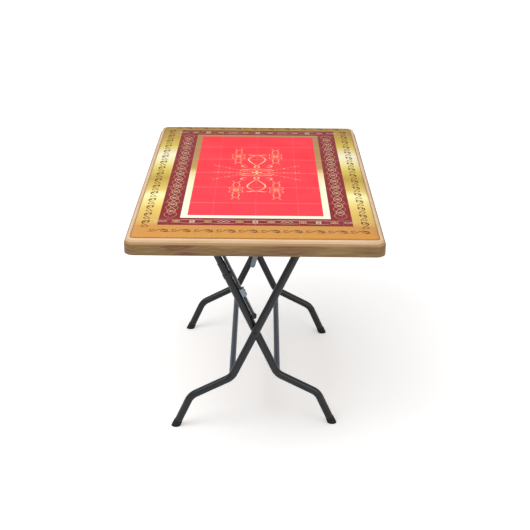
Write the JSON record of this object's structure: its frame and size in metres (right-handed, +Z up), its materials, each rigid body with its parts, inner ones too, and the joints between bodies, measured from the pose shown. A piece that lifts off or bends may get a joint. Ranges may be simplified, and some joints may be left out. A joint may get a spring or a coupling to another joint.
{
  "type": "folding table",
  "caption": "Folding table with a printed rectangular board on two crossed tube frames, with a hinged top and leg stays.",
  "frame": {"origin": "on the floor under the centre of the board", "axes": "+X across the board, +Y along its long side, +Z up"},
  "size_m": [0.74, 1.2, 0.75],
  "materials": {
    "board_moulding": "satin moulded plastic with a wood-grain print",
    "printed_skin": "glossy printed film under a clear coat",
    "black_plastic": "moulded black plastic",
    "zinc_hardware": "zinc plated",
    "nylon": "natural nylon",
    "rubber": "matt black rubber",
    "stretcher_paint": "blue-grey powder coat",
    "frame_paint": "semi-gloss black powder coat",
    "grip_plastic": "pale blue-grey moulded plastic",
    "plated_steel": "dull plated steel"
  },
  "bodies": {
    "outer_frame": {"outer_leg_front": "frame_paint", "outer_leg_back": "frame_paint", "outer_top_bar": "frame_paint", "outer_stretcher": "stretcher_paint", "outer_foot_caps": "rubber", "pivot_bolts": "frame_paint", "pivot_nuts": "zinc_hardware", "pivot_spacers": "nylon"},
    "inner_frame": {"inner_leg_front": "frame_paint", "inner_leg_back": "frame_paint", "head_arm_front": "frame_paint", "head_arm_back": "frame_paint", "head_bar": "frame_paint", "inner_stretcher": "stretcher_paint", "inner_foot_caps": "rubber", "stay_lugs": "frame_paint", "stay_clips": "frame_paint", "pivot_plate_back": "plated_steel"},
    "board": {"top_shell": "board_moulding", "printed_panel": "printed_skin", "hinge_saddle_front": "black_plastic", "hinge_saddle_back": "black_plastic", "saddle_strap_front": "frame_paint", "saddle_strap_back": "frame_paint", "saddle_screws": "zinc_hardware", "catch_bracket_front": "frame_paint", "catch_bracket_back": "frame_paint", "catch_pads": "rubber", "catch_screws": "zinc_hardware"},
    "stay_front": {"lock_stay_front": "frame_paint", "stay_rivet_front": "frame_paint", "stay_grip_front": "grip_plastic"},
    "stay_back": {"lock_stay_back": "frame_paint", "stay_rivet_back": "frame_paint", "stay_grip_back": "grip_plastic"}
  },
  "joints": [
    {"name": "leg_fold", "type": "hinge", "parent": "outer_frame", "child": "inner_frame", "pos_m": [0, 0, 0.336], "axis": [0, 1, 0], "range_deg": [0, 40]},
    {"name": "top_tilt", "type": "hinge", "parent": "outer_frame", "child": "board", "pos_m": [0.17067, 0, 0.702], "axis": [0, 1, 0], "range_deg": [0, 41]},
    {"name": "front_stay_swing", "type": "hinge", "parent": "inner_frame", "child": "stay_front", "pos_m": [-0.00183, -0.333, 0.3837], "axis": [0, 1, 0], "range_deg": [0, 30]},
    {"name": "back_stay_swing", "type": "hinge", "parent": "inner_frame", "child": "stay_back", "pos_m": [-0.00183, 0.333, 0.3837], "axis": [0, 1, 0], "range_deg": [0, 30]}
  ],
  "couplings": [
    {"joint": "top_tilt", "follows": "leg_fold", "ratio": 1}
  ]
}
